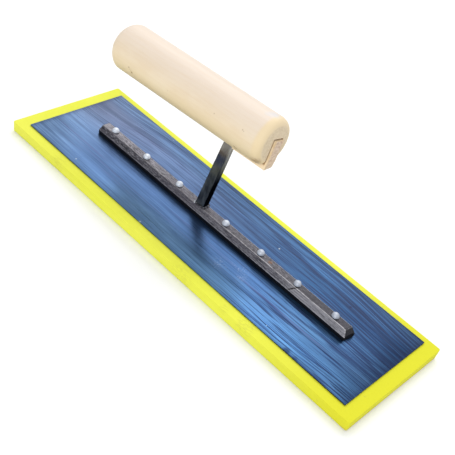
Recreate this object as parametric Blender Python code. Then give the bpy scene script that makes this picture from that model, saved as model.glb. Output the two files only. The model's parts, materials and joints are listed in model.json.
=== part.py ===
"""Masonry finishing float: a foam rubber sole bonded under a thin spring steel backing
blade, a bevelled steel spine riveted down the middle of the blade, and a round wooden
grip carried on one leaning steel tang.

Frame: metres, +Z up. +X runs along the blade from the heel to the toe, +Y to the far
side, and the origin is the middle of the sole's working face, which rests on Z = 0.
"""

import math

import bmesh
import bpy
from mathutils import Matrix, Vector

MM = 0.001
GAP = 0.3 * MM
CUTTER_OVERRUN = 2.0 * MM

# sole
PAD_LENGTH = 352.0 * MM
PAD_WIDTH = 110.0 * MM
PAD_HEIGHT = 8.0 * MM
PAD_CORNER = 1.6 * MM
PAD_EDGE = 0.7 * MM
PAD_HEEL_UNDERCUT = 1.6 * MM
PAD_FAR_UNDERCUT = 1.2 * MM

# backing blade
PLATE_LENGTH = 330.0 * MM
PLATE_WIDTH = 95.2 * MM
PLATE_THICKNESS = 0.8 * MM
PLATE_CORNER = 0.6 * MM
CENTRE_Y = 1.1 * MM
PLATE_BOTTOM = PAD_HEIGHT + GAP
PLATE_TOP = PLATE_BOTTOM + PLATE_THICKNESS

# spine bar
SPINE_HEEL = -132.2 * MM
SPINE_TOE = 130.1 * MM
SPINE_TOE_SKEW = 0.8 * MM
SPINE_WIDTH = 10.7 * MM
SPINE_FLAT = 6.9 * MM
SPINE_SIDE = 3.4 * MM
SPINE_BOTTOM = PLATE_TOP + GAP
SPINE_TOP = PLATE_TOP + 8.4 * MM
HEEL_BEVEL = 1.6 * MM
TOE_BEVEL = 2.4 * MM

# rivets, measured along X from the middle of the blade
RIVET_X = [v * MM for v in (-119.0, -81.7, -44.2, 6.4, 42.6, 78.9, 114.7)]
RIVET_HEAD_RADIUS = 3.0 * MM
RIVET_HEAD_HEIGHT = 3.1 * MM
RIVET_SHANK_RADIUS = 1.7 * MM
RIVET_HOLE_RADIUS = 2.0 * MM
RIVET_FOOT_RADIUS = 3.2 * MM
RIVET_FOOT_HEIGHT = 1.0 * MM
FOOT_TOP = PLATE_BOTTOM - 0.25 * MM
FOOT_BOTTOM = FOOT_TOP - RIVET_FOOT_HEIGHT
POCKET_BOTTOM = FOOT_BOTTOM - GAP
POCKET_RADIUS = RIVET_FOOT_RADIUS + GAP

# grip: centre line through one point above the spine, tilted, swung and rolled
GRIP_RADIUS = 18.27 * MM
GRIP_POINT = Vector((-17.2 * MM, CENTRE_Y + 1.0 * MM, PLATE_TOP + 91.2 * MM))
GRIP_PITCH = math.radians(2.86)
GRIP_YAW = math.radians(1.29)
GRIP_ROLL = math.radians(-12.0)
GRIP_HEEL = -113.3 * MM
GRIP_TOE = 39.5 * MM
GRIP_DOME = 11.8 * MM
GRIP_DOME_POWER = 1.79
GRIP_TOE_ROUND = 4.2 * MM

# slot and bore cut in the grip, and the strip that closes the slot's toe end
SLOT_SHIFT = 2.7 * MM
SLOT_NEAR_HALF = 5.75 * MM
SLOT_FAR_HALF = 5.25 * MM
SLOT_TOP = 3.6 * MM
SLOT_HEEL_CLEARANCE = 1.2 * MM
BORE_RADIUS = 3.9 * MM
BORE_HEEL = -68.0 * MM
BORE_TOE_INSET = 12.0 * MM
STRIP_WIDTH = 9.6 * MM
STRIP_SHIFT = 0.1 * MM
STRIP_TOP = 2.4 * MM
STRIP_BOTTOM = -20.4 * MM
STRIP_CHAMFER = 0.5 * MM
STRIP_TAPER = 1.2 * MM
STRIP_TAPER_HEIGHT = 7.0 * MM
STRIP_FAR_RISE = 1.3 * MM
STRIP_PROUD = 1.5 * MM
STRIP_HEEL_CLEARANCE = 0.7 * MM

# tang: foot section at the spine, neck section at the grip, leg section inside the bore
TANG_FOOT = Vector((-19.3 * MM, CENTRE_Y, SPINE_TOP + GAP))
TANG_FOOT_SIZE = (8.2 * MM, 6.7 * MM)
TANG_NECK_SIZE = (7.2 * MM, 5.9 * MM)
TANG_LEG_SIZE = (5.6 * MM, 5.4 * MM)
TANG_NECK_U = 4.9 * MM
TANG_AXIS_U = 6.3 * MM
TANG_LEG_Z = -0.6 * MM
TANG_BEND = 7.0 * MM
TANG_LEG_END = -64.0 * MM
TANG_LEG_TAPER = 0.8
TANG_CHAMFER = 0.55 * MM
TENON_SIZE = (5.4 * MM, 4.4 * MM)
TENON_HEAD_SIZE = (8.0 * MM, 6.6 * MM)
COLLAR_MARGIN = 0.95 * MM
COLLAR_HEIGHT = 1.1 * MM
COLLAR_INNER_CORNER = 0.8 * MM
COLLAR_OUTER_CORNER = 2.0 * MM
COLLAR_LIP_CORNER = 1.4 * MM
COLLAR_LIP_MARGIN = 0.45
COLLAR_SIDE = 0.45


def clear_scene():
    for obj in list(bpy.data.objects):
        bpy.data.objects.remove(obj, do_unlink=True)


def material(name, colour, metallic, roughness):
    made = bpy.data.materials.new(name)
    made.use_nodes = True
    shader = made.node_tree.nodes["Principled BSDF"]
    shader.inputs["Base Color"].default_value = (*colour, 1.0)
    shader.inputs["Metallic"].default_value = metallic
    shader.inputs["Roughness"].default_value = roughness
    return made


def add_object(name, bm, look=None, smooth=None):
    """Turns a bmesh into a scene object, with faces facing out and soft edges below smooth degrees."""
    bmesh.ops.recalc_face_normals(bm, faces=bm.faces[:])
    mesh = bpy.data.meshes.new(name)
    bm.to_mesh(mesh)
    bm.free()
    obj = bpy.data.objects.new(name, mesh)
    bpy.context.scene.collection.objects.link(obj)
    if look is not None:
        mesh.materials.append(look)
    if smooth is not None:
        for polygon in mesh.polygons:
            polygon.use_smooth = True
        mesh.set_sharp_from_angle(angle=math.radians(smooth))
    return obj


def add_cutter(name, bm):
    cutter = add_object(name, bm)
    cutter.hide_render = True
    cutter.display_type = "WIRE"
    return cutter


def cut(obj, cutter):
    modifier = obj.modifiers.new(cutter.name, "BOOLEAN")
    modifier.operation = "DIFFERENCE"
    modifier.solver = "EXACT"
    modifier.object = cutter


def loft(sections, matrix=None):
    """Closed solid through a list of equal-length point loops, with flat end caps."""
    bm = bmesh.new()
    rings = []
    for section in sections:
        points = [Vector(p) if matrix is None else matrix @ Vector(p) for p in section]
        rings.append([bm.verts.new(p) for p in points])
    count = len(rings[0])
    for low, high in zip(rings, rings[1:]):
        for i in range(count):
            j = (i + 1) % count
            bm.faces.new((low[i], low[j], high[j], high[i]))
    bm.faces.new(list(reversed(rings[0])))
    bm.faces.new(rings[-1])
    return bm


def rounded_rectangle(length, width, corner, steps, z, centre_y=0.0, centre_x=0.0):
    """Plan outline with rounded corners, anticlockwise from above."""
    points = []
    for quarter in range(4):
        sign_x = 1 if quarter in (0, 3) else -1
        sign_y = 1 if quarter in (0, 1) else -1
        middle_x = centre_x + sign_x * (length / 2 - corner)
        middle_y = centre_y + sign_y * (width / 2 - corner)
        for step in range(steps + 1):
            angle = math.radians(90 * quarter + 90 * step / steps)
            x = middle_x + corner * math.cos(angle)
            y = middle_y + corner * math.sin(angle)
            points.append((x, y, z))
    return points


def circle(radius, z, x=0.0, y=0.0, count=24):
    turns = [2 * math.pi * i / count for i in range(count)]
    return [(x + radius * math.cos(t), y + radius * math.sin(t), z) for t in turns]


def box(low, high, matrix=None):
    (x0, y0, z0), (x1, y1, z1) = low, high
    sections = []
    for z in (z0, z1):
        sections.append([(x0, y0, z), (x1, y0, z), (x1, y1, z), (x0, y1, z)])
    return loft(sections, matrix)


def grip_frame():
    """Local frame of the grip: X along its centre line, -Z out through the slot."""
    yaw = Matrix.Rotation(GRIP_YAW, 4, "Z")
    pitch = Matrix.Rotation(-GRIP_PITCH, 4, "Y")
    roll = Matrix.Rotation(GRIP_ROLL, 4, "X")
    return Matrix.Translation(GRIP_POINT) @ yaw @ pitch @ roll


def build_pad():
    look = material("foam_rubber_yellow", (0.90, 0.91, 0.10), 0.0, 0.75)
    sections = []
    for step in range(4):
        angle = math.radians(90 * step / 3)
        inset = PAD_EDGE * (1 - math.sin(angle))
        z = PAD_EDGE * (1 - math.cos(angle))
        outline = rounded_rectangle(
            PAD_LENGTH - PAD_HEEL_UNDERCUT - 2 * inset,
            PAD_WIDTH - PAD_FAR_UNDERCUT - 2 * inset,
            PAD_CORNER - inset,
            5,
            z,
            -PAD_FAR_UNDERCUT / 2,
            PAD_HEEL_UNDERCUT / 2,
        )
        sections.append(outline)
    sections.append(rounded_rectangle(PAD_LENGTH, PAD_WIDTH, PAD_CORNER, 5, PAD_HEIGHT))
    pad = add_object("pad", loft(sections), look, 40)
    for i, x in enumerate(RIVET_X):
        ends = [
            circle(POCKET_RADIUS, z, x, CENTRE_Y, 20)
            for z in (POCKET_BOTTOM, PAD_HEIGHT + CUTTER_OVERRUN)
        ]
        cut(pad, add_cutter(f"pocket_cutter_{i + 1}", loft(ends)))
    half = [size / 2 + GAP for size in TENON_HEAD_SIZE]
    low = (TANG_FOOT.x - half[0], CENTRE_Y - half[1], POCKET_BOTTOM)
    high = (TANG_FOOT.x + half[0], CENTRE_Y + half[1], PAD_HEIGHT + CUTTER_OVERRUN)
    cut(pad, add_cutter("tenon_pocket_cutter", box(low, high)))
    return pad


def drill(obj, low_z, high_z, prefix):
    """Rivet holes and the tenon hole, through everything between the two heights."""
    for i, x in enumerate(RIVET_X):
        ends = [circle(RIVET_HOLE_RADIUS, z, x, CENTRE_Y, 20) for z in (low_z, high_z)]
        cut(obj, add_cutter(f"{prefix}_hole_cutter_{i + 1}", loft(ends)))
    half = [size / 2 + GAP for size in TENON_SIZE]
    low = (TANG_FOOT.x - half[0], CENTRE_Y - half[1], low_z)
    high = (TANG_FOOT.x + half[0], CENTRE_Y + half[1], high_z)
    cut(obj, add_cutter(f"{prefix}_tenon_cutter", box(low, high)))


def build_plate():
    look = material("blued_spring_steel", (0.10, 0.20, 0.38), 0.85, 0.35)
    heights = (PLATE_BOTTOM, PLATE_TOP)
    sections = [
        rounded_rectangle(PLATE_LENGTH, PLATE_WIDTH, PLATE_CORNER, 3, z, CENTRE_Y)
        for z in heights
    ]
    plate = add_object("plate", loft(sections), look)
    drill(plate, PLATE_BOTTOM - CUTTER_OVERRUN, PLATE_TOP + CUTTER_OVERRUN, "plate")
    return plate


def build_spine():
    look = material("spine_steel", (0.16, 0.16, 0.17), 0.85, 0.5)
    levels = (
        (SPINE_BOTTOM, SPINE_WIDTH / 2, 0.0),
        (PLATE_TOP + SPINE_SIDE, SPINE_WIDTH / 2, 0.0),
        (SPINE_TOP, SPINE_FLAT / 2, 1.0),
    )
    sections = []
    for z, half, bevel in levels:
        heel = SPINE_HEEL + bevel * HEEL_BEVEL
        toe = SPINE_TOE - bevel * TOE_BEVEL
        low_y = CENTRE_Y - half
        high_y = CENTRE_Y + half
        toe_near = toe - SPINE_TOE_SKEW
        toe_far = toe + SPINE_TOE_SKEW
        outline = [(heel, low_y), (toe_near, low_y), (toe_far, high_y), (heel, high_y)]
        sections.append([(x, y, z) for x, y in outline])
    spine = add_object("spine", loft(sections), look)
    drill(spine, SPINE_BOTTOM - CUTTER_OVERRUN, SPINE_TOP + CUTTER_OVERRUN, "spine")
    return spine


def build_rivets():
    for i, x in enumerate(RIVET_X):
        look = material(f"rivet_aluminium_{i + 1}", (0.80, 0.81, 0.83), 0.9, 0.35)
        base = SPINE_TOP + GAP
        profile = [
            (RIVET_FOOT_RADIUS, FOOT_BOTTOM),
            (RIVET_FOOT_RADIUS, FOOT_TOP),
            (RIVET_SHANK_RADIUS, FOOT_TOP),
            (RIVET_SHANK_RADIUS, base),
            (RIVET_HEAD_RADIUS, base),
        ]
        dome = 6
        for step in range(1, dome):
            angle = math.radians(90 * step / dome)
            radius = RIVET_HEAD_RADIUS * math.cos(angle)
            profile.append((radius, base + RIVET_HEAD_HEIGHT * math.sin(angle)))
        sections = [circle(radius, z, x, CENTRE_Y, 20) for radius, z in profile]
        add_object(f"rivet_{i + 1}", loft(sections), look, 40)


def bar_section(centre, along, across, depth, width):
    """Chamfered rectangle square to the sweep: depth along one direction, width across the other."""
    half_d = depth / 2
    half_w = width / 2
    c = TANG_CHAMFER
    corners = (
        (half_d, half_w - c),
        (half_d - c, half_w),
        (c - half_d, half_w),
        (-half_d, half_w - c),
        (-half_d, c - half_w),
        (c - half_d, -half_w),
        (half_d - c, -half_w),
        (half_d, c - half_w),
    )
    return [centre + along * d + across * w for d, w in corners]


def build_tang(frame):
    look = material("tang_steel", (0.05, 0.055, 0.065), 0.85, 0.4)
    x_axis = Vector((1, 0, 0))
    y_axis = Vector((0, 1, 0))
    foot = TANG_FOOT
    neck_local = Vector((TANG_NECK_U, SLOT_SHIFT, -GRIP_RADIUS))
    neck = frame @ neck_local
    sections = []
    # peened head under the blade, then the tenon up through blade and spine
    for z, size in (
        (FOOT_BOTTOM, TENON_HEAD_SIZE),
        (FOOT_TOP, TENON_HEAD_SIZE),
        (FOOT_TOP, TENON_SIZE),
        (foot.z, TENON_SIZE),
    ):
        centre = Vector((foot.x, foot.y, z))
        sections.append(bar_section(centre, x_axis, y_axis, *size))
    sections.append(bar_section(foot, x_axis, y_axis, *TANG_FOOT_SIZE))
    # leaning shaft, then the bend onto the grip's centre line, all in the grip's own frame
    corner = Vector((TANG_AXIS_U, SLOT_SHIFT, TANG_LEG_Z))
    across = (frame.to_3x3() @ Vector((0, 1, 0))).normalized()
    rise = (neck - foot).normalized()
    along = across.cross(rise).normalized()
    sections.append(bar_section(neck, along, across, *TANG_NECK_SIZE))
    up = (corner - neck_local).normalized()
    out = Vector((-1, 0, 0))
    start = corner - up * TANG_BEND
    finish = corner + out * TANG_BEND
    steps = 6
    for step in range(steps + 1):
        t = step / steps
        point = start * (1 - t) ** 2 + corner * 2 * t * (1 - t) + finish * t**2
        heading = ((corner - start) * (1 - t) + (finish - corner) * t).normalized()
        side = Vector((0, 1, 0)).cross(heading).normalized()
        depth = TANG_NECK_SIZE[0] * (1 - t) + TANG_LEG_SIZE[0] * t
        width = TANG_NECK_SIZE[1] * (1 - t) + TANG_LEG_SIZE[1] * t
        section = bar_section(point, side, Vector((0, 1, 0)), depth, width)
        sections.append([frame @ p for p in section])
    end = Vector((TANG_LEG_END, SLOT_SHIFT, TANG_LEG_Z))
    side = Vector((0, 1, 0)).cross(out).normalized()
    depth, width = [size * TANG_LEG_TAPER for size in TANG_LEG_SIZE]
    section = bar_section(end, side, Vector((0, 1, 0)), depth, width)
    sections.append([frame @ p for p in section])
    return add_object("tang", loft(sections), look)


def build_collar():
    look = material("collar_steel", (0.09, 0.09, 0.10), 0.8, 0.45)
    z = TANG_FOOT.z
    inner = [size + 2 * GAP for size in TANG_FOOT_SIZE]
    outer = [size + 2 * COLLAR_MARGIN for size in inner]
    lip = [size + 2 * COLLAR_MARGIN * COLLAR_LIP_MARGIN for size in inner]
    rings = (
        (inner, z, COLLAR_INNER_CORNER),
        (outer, z, COLLAR_OUTER_CORNER),
        (outer, z + COLLAR_HEIGHT * COLLAR_SIDE, COLLAR_OUTER_CORNER),
        (lip, z + COLLAR_HEIGHT, COLLAR_LIP_CORNER),
        (inner, z + COLLAR_HEIGHT, COLLAR_INNER_CORNER),
    )
    bm = bmesh.new()
    made = []
    for size, height, corner in rings:
        outline = rounded_rectangle(
            size[0], size[1], corner, 3, height, TANG_FOOT.y, TANG_FOOT.x
        )
        made.append([bm.verts.new(p) for p in outline])
    count = len(made[0])
    for low, high in zip(made, made[1:] + made[:1]):
        for i in range(count):
            j = (i + 1) % count
            bm.faces.new((low[i], low[j], high[j], high[i]))
    return add_object("tang_collar", bm, look, 35)


def grip_profile():
    """Radius against distance along the centre line: domed heel, straight barrel, rounded toe."""
    profile = []
    dome = 9
    for step in range(1, dome + 1):
        angle = math.radians(90 * step / dome)
        u = GRIP_HEEL + GRIP_DOME * (1 - math.cos(angle) ** (2 / GRIP_DOME_POWER))
        profile.append((u, GRIP_RADIUS * math.sin(angle) ** (2 / GRIP_DOME_POWER)))
    rounding = 5
    for step in range(rounding + 1):
        angle = math.radians(90 * step / rounding)
        u = GRIP_TOE - GRIP_TOE_ROUND * (1 - math.sin(angle))
        profile.append((u, GRIP_RADIUS - GRIP_TOE_ROUND * (1 - math.cos(angle))))
    return profile


def ring_x(u, radius, count):
    turns = [2 * math.pi * i / count for i in range(count)]
    return [(u, radius * math.cos(t), radius * math.sin(t)) for t in turns]


def build_grip(frame):
    look = material("grip_wood", (0.83, 0.68, 0.47), 0.0, 0.55)
    sections = [ring_x(u, radius, 48) for u, radius in grip_profile()]
    grip = add_object("handle", loft(sections, frame), look, 35)
    slot_heel = TANG_NECK_U - TANG_NECK_SIZE[0] / 2 - SLOT_HEEL_CLEARANCE
    low = (slot_heel, SLOT_SHIFT - SLOT_NEAR_HALF, -GRIP_RADIUS - CUTTER_OVERRUN)
    high = (GRIP_TOE + CUTTER_OVERRUN, SLOT_SHIFT + SLOT_FAR_HALF, SLOT_TOP)
    cut(grip, add_cutter("slot_cutter", box(low, high, frame)))
    bore_frame = frame @ Matrix.Translation((0, SLOT_SHIFT, TANG_LEG_Z))
    bore = [ring_x(u, BORE_RADIUS, 20) for u in (BORE_HEEL, GRIP_TOE - BORE_TOE_INSET)]
    cut(grip, add_cutter("bore_cutter", loft(bore, bore_frame)))
    return grip


def build_strip(frame):
    look = material("strip_wood", (0.78, 0.62, 0.45), 0.0, 0.6)
    half = STRIP_WIDTH / 2
    worn = half - STRIP_TAPER
    far_bottom = STRIP_BOTTOM + STRIP_FAR_RISE
    # square along the near side, worn back and rising towards the far lower edge
    outline = [
        (half, STRIP_TOP),
        (-half, STRIP_TOP),
        (-half, STRIP_BOTTOM + STRIP_CHAMFER),
        (STRIP_CHAMFER - half, STRIP_BOTTOM),
        (worn - STRIP_CHAMFER, far_bottom),
        (worn, far_bottom + STRIP_CHAMFER),
        (half, STRIP_BOTTOM + STRIP_TAPER_HEIGHT),
    ]
    shift = SLOT_SHIFT + STRIP_SHIFT
    start = TANG_AXIS_U + TANG_NECK_SIZE[0] / 2 + STRIP_HEEL_CLEARANCE
    sections = []
    for u in (start, GRIP_TOE + STRIP_PROUD):
        sections.append([(u, y + shift, z) for y, z in outline])
    return add_object("filler_strip", loft(sections, frame), look)


def main():
    clear_scene()
    frame = grip_frame()
    build_pad()
    build_plate()
    build_spine()
    build_rivets()
    build_tang(frame)
    build_collar()
    build_grip(frame)
    build_strip(frame)


main()
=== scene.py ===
import json
import math

import bmesh
import bpy
from mathutils import Matrix, Vector, noise

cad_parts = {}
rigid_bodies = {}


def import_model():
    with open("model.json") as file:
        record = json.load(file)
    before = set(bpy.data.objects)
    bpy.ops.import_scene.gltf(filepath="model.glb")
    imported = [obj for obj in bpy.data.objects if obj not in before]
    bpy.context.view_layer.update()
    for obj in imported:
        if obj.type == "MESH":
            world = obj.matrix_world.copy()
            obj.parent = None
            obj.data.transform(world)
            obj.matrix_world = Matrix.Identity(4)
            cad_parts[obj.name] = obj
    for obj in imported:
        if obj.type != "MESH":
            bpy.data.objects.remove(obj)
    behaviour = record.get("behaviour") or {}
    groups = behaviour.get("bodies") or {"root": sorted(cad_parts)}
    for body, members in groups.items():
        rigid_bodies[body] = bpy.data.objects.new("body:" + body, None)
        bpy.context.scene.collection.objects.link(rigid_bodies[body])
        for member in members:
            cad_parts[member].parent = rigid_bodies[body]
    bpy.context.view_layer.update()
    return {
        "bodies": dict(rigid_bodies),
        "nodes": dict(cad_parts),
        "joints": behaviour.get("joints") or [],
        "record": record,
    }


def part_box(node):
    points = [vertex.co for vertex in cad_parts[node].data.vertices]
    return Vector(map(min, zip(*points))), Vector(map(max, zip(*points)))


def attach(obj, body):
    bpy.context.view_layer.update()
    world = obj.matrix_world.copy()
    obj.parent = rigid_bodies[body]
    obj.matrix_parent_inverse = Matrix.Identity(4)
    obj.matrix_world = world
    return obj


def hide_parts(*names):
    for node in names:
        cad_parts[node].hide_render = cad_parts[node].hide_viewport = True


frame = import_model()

# Looks of a rubber masonry float: foam rubber sole, blued steel blade, riveted spine, one
# leaning tang and a turned wooden grip. Each piece is built round its CAD node.

MM = 0.001
PIECES = bpy.context.scene.collection
TOEWARD = (1.0, 0.0, 0.0)
ALONG = Vector((1, 0, 0))
ACROSS = Vector((0, 1, 0))


def srgb(red, green, blue):
    """Screen colour from 0 to 255 as the linear colour that a shader takes."""
    linear = []
    for value in (red, green, blue):
        c = value / 255
        linear.append(c / 12.92 if c <= 0.04045 else ((c + 0.055) / 1.055) ** 2.4)
    return tuple(linear)


def tones(*stops):
    """Colour ramp from stops of (place, red, green, blue)."""
    return [(place, srgb(*colour)) for place, *colour in stops]


# -------- camera and light
CAMERA_LENS = 71.93
CAMERA_PLACE = Vector((0.28488, -0.43974, 0.43735))
CAMERA_AZIMUTH = math.radians(32.05)
CAMERA_ELEVATION = math.radians(39.0)
CAMERA_ROLL = math.radians(18.66)
KEY_DIRECTION = Vector((-0.42, 0.76, 1.0)).normalized()
KEY_DISTANCE = 1.6
KEY_SIZE = 1.5
KEY_WATTS = 15.5
FILL_DIRECTION = Vector((0.5, -1.0, 0.75)).normalized()
FILL_DISTANCE = 1.8
FILL_SIZE = 1.6
FILL_WATTS = 12.5
SKY_COLOUR = (0.96, 0.98, 1.0)
SKY_STRENGTH = 0.78
FLOOR_DROP = 0.3 * MM
FLOOR_SIZE = 16.0
FLOOR_SQUARES = 8
LIT_POINT = Vector((0, 0, 0.04))

# -------- sizes read from the CAD nodes
PAD_LOW, PAD_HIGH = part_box("pad")
PLATE_LOW, PLATE_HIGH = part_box("plate")
SPINE_LOW, SPINE_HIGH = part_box("spine")
COLLAR_LOW, COLLAR_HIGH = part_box("tang_collar")
CENTRE_Y = (PLATE_LOW.y + PLATE_HIGH.y) / 2
GAP = PLATE_LOW.z - PAD_HIGH.z

# -------- shape of each piece
PAD_CORNER = 1.6 * MM
PAD_HEEL_UNDERCUT = 1.6 * MM
PAD_FAR_UNDERCUT = 1.2 * MM
PAD_EDGE_LOW = 0.7 * MM
PAD_EDGE_HIGH = 0.35 * MM
PAD_WAVE = 0.16 * MM
# share of the wave, size, stretch in height, seed
PAD_WAVES = ((0.7, 21 * MM, 4, 3.0), (0.3, 4 * MM, 2, 8.0))
PAD_WAVE_DEPTH = 6 * MM
PAD_SIDE_POWER = 24
PAD_LEAST_CORNER = 0.4 * MM
PAD_UNDER_RINGS = (34.0 * MM, 16.0 * MM, 7.0 * MM, 3.0 * MM)
PAD_TOP_RINGS = (2.0 * MM, 5.0 * MM, 9.0 * MM, 14.0 * MM)
PAD_LOW_TURNS = 5
PAD_HIGH_TURNS = 4
PAD_WALL_ROWS = 8
PAD_PARTS = (96, 32)
PAD_SMOOTH = 50.0
CORNER_TURNS = 5
PLATE_CORNER = 0.6 * MM
PLATE_EDGE = 0.14 * MM
PLATE_EDGE_STEPS = ((1.0, 0.0), (0.3, 0.3), (0.0, 1.0))
PLATE_PARTS = (48, 14)
PLATE_SMOOTH = 35.0
SPINE_SHOULDER = PLATE_HIGH.z + 3.4 * MM
SPINE_HALF = (SPINE_HIGH.y - SPINE_LOW.y) / 2
SPINE_RIDGE = 3.45 * MM
SPINE_HEEL_RAKE = 1.6 * MM
SPINE_TOE_RAKE = 2.4 * MM
SPINE_TOE_SKEW = 0.8 * MM
SPINE_STEP = 0.9 * MM
SPINE_CORNERS = (0.35 * MM, 0.35 * MM, 0.7 * MM, 0.6 * MM, 0.6 * MM, 0.7 * MM)
SPINE_SPACING = 0.75 * MM
SPINE_ROUGHNESS = 0.07 * MM
# share, stretch along the bar, size, seed
SPINE_WAVES = ((0.6, 0.45, 1.3 * MM, 1.0), (0.9, 0.2, 4.5 * MM, 5.0))
SPINE_WAVE_TOP = 0.9
SPINE_FLAT = 0.3 * MM
SPINE_EASE = 0.3 * MM
SPINE_EASE_REACH = 0.4 * MM
SPINE_SMOOTH = 38.0
LAP_X = 75.8 * MM
LAP_LEAN = -0.94
LAP_DEPTH = 0.24 * MM
LAP_WIDTH = 0.45 * MM
LAP_SWAY = 0.5 * MM
LAP_SWAY_HEIGHT = 1.1 * MM
LAP_START = 1.2 * MM
RIVET_NODES = [f"rivet_{i}" for i in range(1, 8)]
RIVET_HEAD_RADIUS = 3.0 * MM
RIVET_SHANK_RADIUS = 1.7 * MM
RIVET_HOLE_RADIUS = 2.0 * MM
RIVET_FOOT_RADIUS = 3.2 * MM
RIVET_FOOT_EASE = 0.15 * MM
RIVET_FOOT_FACE = 0.96
RIVET_HEAD_FACE = 0.93
RIVET_LIP = 0.12 * MM
RIVET_LEVELS = 14
RIVET_SIDES = 40
RIVET_DENT = 0.10 * MM
RIVET_SLOPE = 0.16 * MM
RIVET_UNEVEN_FROM = 0.6 * MM
RIVET_SEED = 17.0
RIVET_SEED_STEP = 5
HOLE_SIDES = 32
POCKET_MARGIN = 0.3 * MM
FOOT_TOP = PLATE_LOW.z - 0.25 * MM
FOOT_BOTTOM = FOOT_TOP - 1.0 * MM
RIVET_BASE = SPINE_HIGH.z + GAP

# the grip's own frame: x along its centre line, -z out through the slot
GRIP_POINT = Vector((-17.2 * MM, CENTRE_Y + 1.0 * MM, PLATE_HIGH.z + 91.2 * MM))
GRIP_TURN = (
    Matrix.Rotation(math.radians(1.29), 4, "Z")
    @ Matrix.Rotation(math.radians(-2.86), 4, "Y")
    @ Matrix.Rotation(math.radians(-12.0), 4, "X")
)
GRIP = Matrix.Translation(GRIP_POINT) @ GRIP_TURN
GRIP_RADIUS = 18.27 * MM
GRIP_HEEL = -113.3 * MM
GRIP_TOE = 39.5 * MM
GRIP_DOME = 11.8 * MM
GRIP_DOME_POWER = 1.79
GRIP_TOE_ROUND = 6.4 * MM
GRIP_TOE_SHRINK = 4.9 * MM
GRIP_DOME_TURNS = 22
GRIP_ROWS = 46
GRIP_TOE_TURNS = 10
GRIP_END_RADII = (12.4 * MM, 10.0 * MM, 6.0 * MM, 2.5 * MM)
GRIP_SIDES = 112
GRIP_UNEVEN = 0.10 * MM
GRIP_TOE_UNEVEN = 1.6
GRIP_SMOOTH = 35.0
BARREL_HEEL = GRIP_HEEL + GRIP_DOME
TOE_TURNED = GRIP_TOE - GRIP_TOE_ROUND
SLOT_SHIFT = 2.7 * MM
SLOT_NEAR_HALF = 5.75 * MM
SLOT_FAR_HALF = 5.25 * MM
SLOT_TOP = 3.6 * MM
SLOT_HEEL = 0.1 * MM
SLOT_CORNERS = (0.2 * MM, 0.2 * MM, 0.7 * MM, 0.7 * MM)
BORE_RADIUS = 3.9 * MM
BORE_DROP = -0.6 * MM
BORE_HEEL = -68.0 * MM
BORE_TOE = GRIP_TOE - 12.0 * MM
STRIP_MIDDLE = SLOT_SHIFT + 0.1 * MM
STRIP_HALF = 4.8 * MM
STRIP_HIGH = 2.4 * MM
STRIP_LOW = -20.4 * MM
STRIP_TAPER = 1.2 * MM
STRIP_TAPER_HEIGHT = 7.0 * MM
STRIP_FAR_RISE = 1.3 * MM
STRIP_HEEL = 10.6 * MM
STRIP_TOE = GRIP_TOE + 1.5 * MM
STRIP_CORNERS = (0.3 * MM, 0.3 * MM, 0.5 * MM, 0.7 * MM, 0.6 * MM)
STRIP_ROWS = 30
# distance short of the toe face, and how far in the outline is there
STRIP_TOE_RINGS = ((0.45 * MM, 0.0), (0.15 * MM, 0.12 * MM), (0.0, 0.34 * MM))
STRIP_UNEVEN = 0.09 * MM
STRIP_SLANT = 0.012

TANG_FOOT = Vector((-19.3 * MM, CENTRE_Y, SPINE_HIGH.z + GAP))
TANG_FOOT_SIZE = (8.2 * MM, 6.7 * MM)
TANG_NECK_SIZE = (7.2 * MM, 5.9 * MM)
TANG_LEG_SIZE = (5.6 * MM, 5.4 * MM)
TANG_NECK = Vector((4.9 * MM, SLOT_SHIFT, -GRIP_RADIUS))
TANG_ELBOW = Vector((6.3 * MM, SLOT_SHIFT, BORE_DROP))
TANG_BEND = 7.0 * MM
TANG_LEG_END = -64.0 * MM
TANG_LEG_TAPER = 0.8
TANG_CORNER = 0.62 * MM
TENON_SIZE = (5.4 * MM, 4.4 * MM)
TENON_HEAD_SIZE = (8.0 * MM, 6.6 * MM)
TANG_SHANK_ROWS = 46
TANG_NECK_ROWS = 7
TANG_LEG_ROWS = 30
TANG_BEND_STEPS = 10
TANG_CORNER_PARTS = 5
TANG_HAMMER = 0.13 * MM
TANG_SMOOTH = 32.0

# inset as a share of the margin, height as a share of the bead's, corner in millimetres
WELD_LEVELS = (
    (1.0, 0.0, 0.8),
    (0.0, 0.0, 2.0),
    (0.0, 0.25, 2.0),
    (0.14, 0.6, 1.9),
    (0.42, 0.88, 1.7),
    (0.72, 1.0, 1.4),
    (1.0, 0.97, 0.9),
)
WELD_MARGIN = 0.95 * MM
WELD_LUMP = 0.20 * MM
WELD_LUMP_DROP = 1.4
WELD_PARTS = (12, 10)
WELD_SMOOTH = 60.0

# -------- colours
FOAM_LIGHT = srgb(230, 231, 80)
FOAM_DEEP = srgb(226, 228, 73)
FOAM_TOE = srgb(222, 219, 44)
FOAM_END_SHADE = (0.93, 0.93, 1.0)
FOAM_SHADE = srgb(212, 214, 70)
FOAM_LOW_EDGE = srgb(196, 180, 66)
FOAM_MARK = srgb(176, 172, 74)
# x, y, z, radius in millimetres, then strength
FOAM_MARKS = [
    (81.0, -51.3, 8.0, 7.0, 0.30),
    (62.0, -53.0, 8.0, 4.0, 0.25),
    (168.0, -28.0, 8.0, 0.9, 0.9),
    (-120.0, -55.0, 5.0, 6.0, 0.25),
    (20.0, -55.0, 3.0, 9.0, 0.22),
    (150.0, -55.0, 4.0, 0.9, 0.35),
    (-165.0, 52.0, 8.0, 5.0, 0.25),
]
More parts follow.
